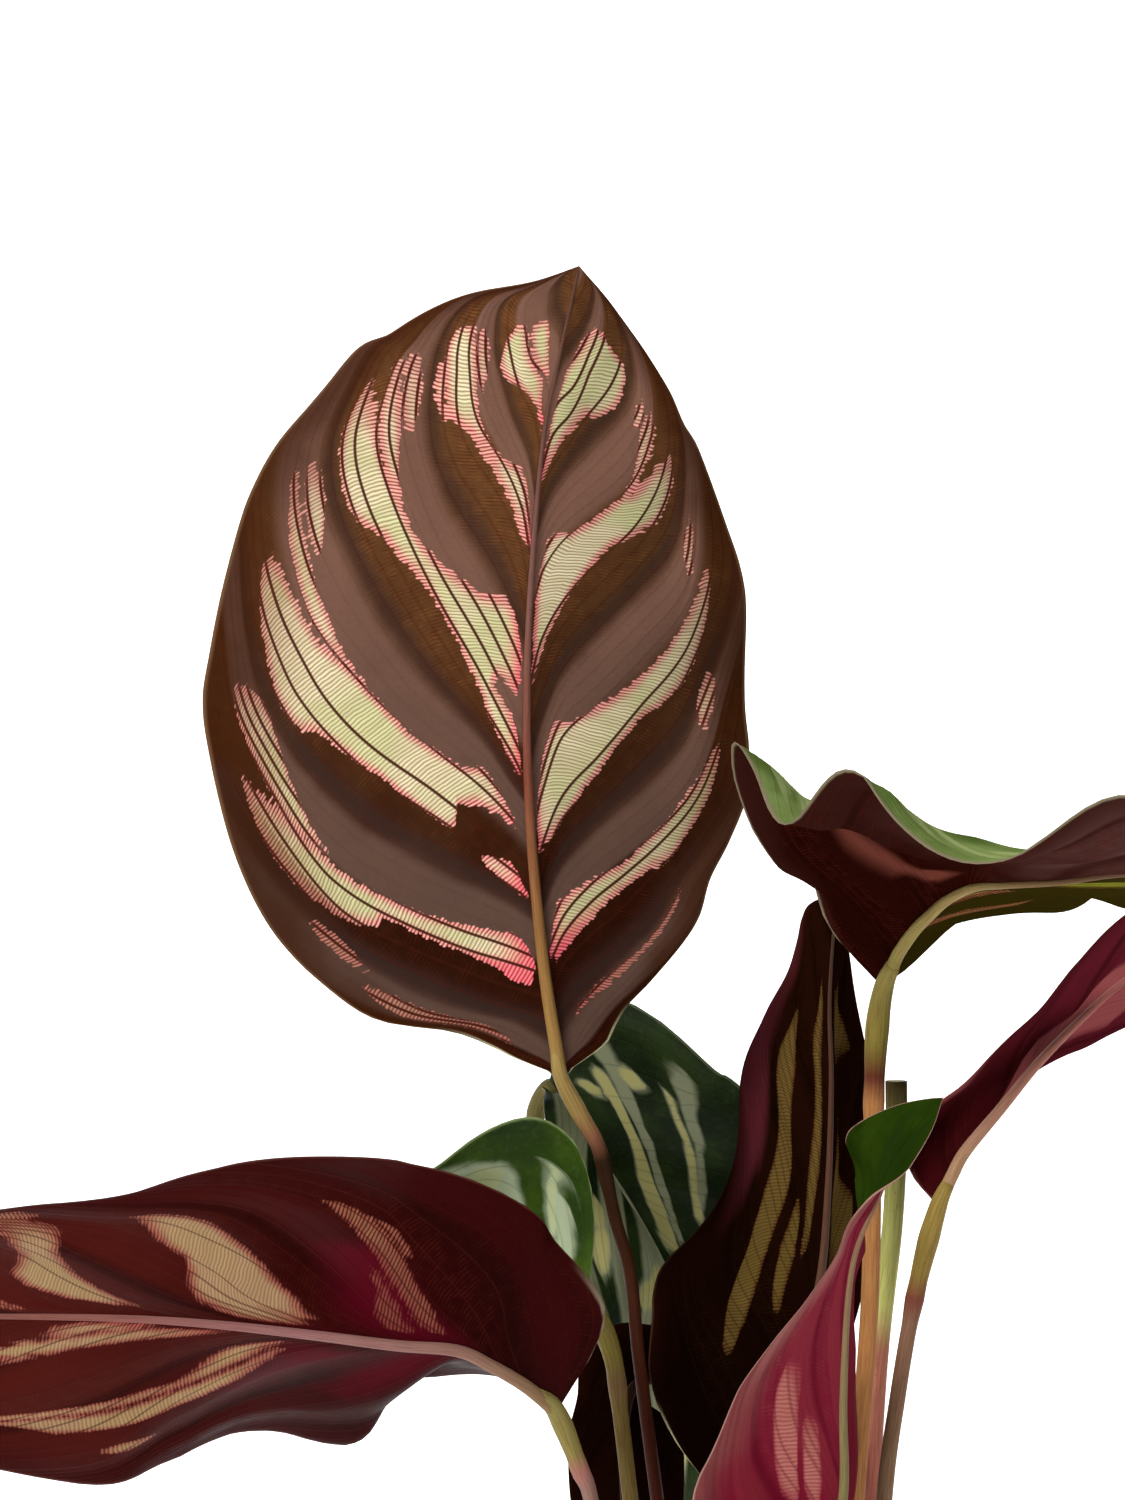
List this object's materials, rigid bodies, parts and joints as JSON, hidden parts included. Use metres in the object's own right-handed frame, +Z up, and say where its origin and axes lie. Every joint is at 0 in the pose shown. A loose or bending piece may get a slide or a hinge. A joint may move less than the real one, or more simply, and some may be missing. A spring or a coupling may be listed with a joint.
{
  "type": "potted calathea",
  "caption": "Calathea house plant with broad patterned leaves on slender stalks, dark red undersides, standing in a plain round nursery pot of potting mix.",
  "frame": {"origin": "centre of the pot's flat base, where it stands", "axes": "+Z up along the pot's axis, -Y towards the front of the plant, +X to its right"},
  "size_m": [0.3252, 0.2153, 0.4991],
  "materials": {
    "pot": "matte dark moulded plastic",
    "soil": "crumbly dark potting mix",
    "stalk": "smooth olive brown plant skin, satin",
    "blade": "thin leaf, satin maroon underside with pink and cream stripes, green upper side"
  },
  "bodies": {
    "root": {"pot": "pot", "soil": "soil", "cut_stalk": "stalk", "tall_leaf_blade": "blade", "tall_leaf_stalk": "stalk", "left_leaf_blade": "blade", "left_leaf_stalk": "stalk", "nodding_leaf_blade": "blade", "nodding_leaf_stalk": "stalk", "small_leaf_blade": "blade", "small_leaf_stalk": "stalk", "shaded_leaf_blade": "blade", "shaded_leaf_stalk": "stalk", "spreading_leaf_blade": "blade", "spreading_leaf_stalk": "stalk", "right_leaf_blade": "blade", "right_leaf_stalk": "stalk", "young_leaf_blade": "blade", "young_leaf_stalk": "stalk", "low_leaf_blade": "blade", "low_leaf_stalk": "stalk"}
  },
  "joints": []
}
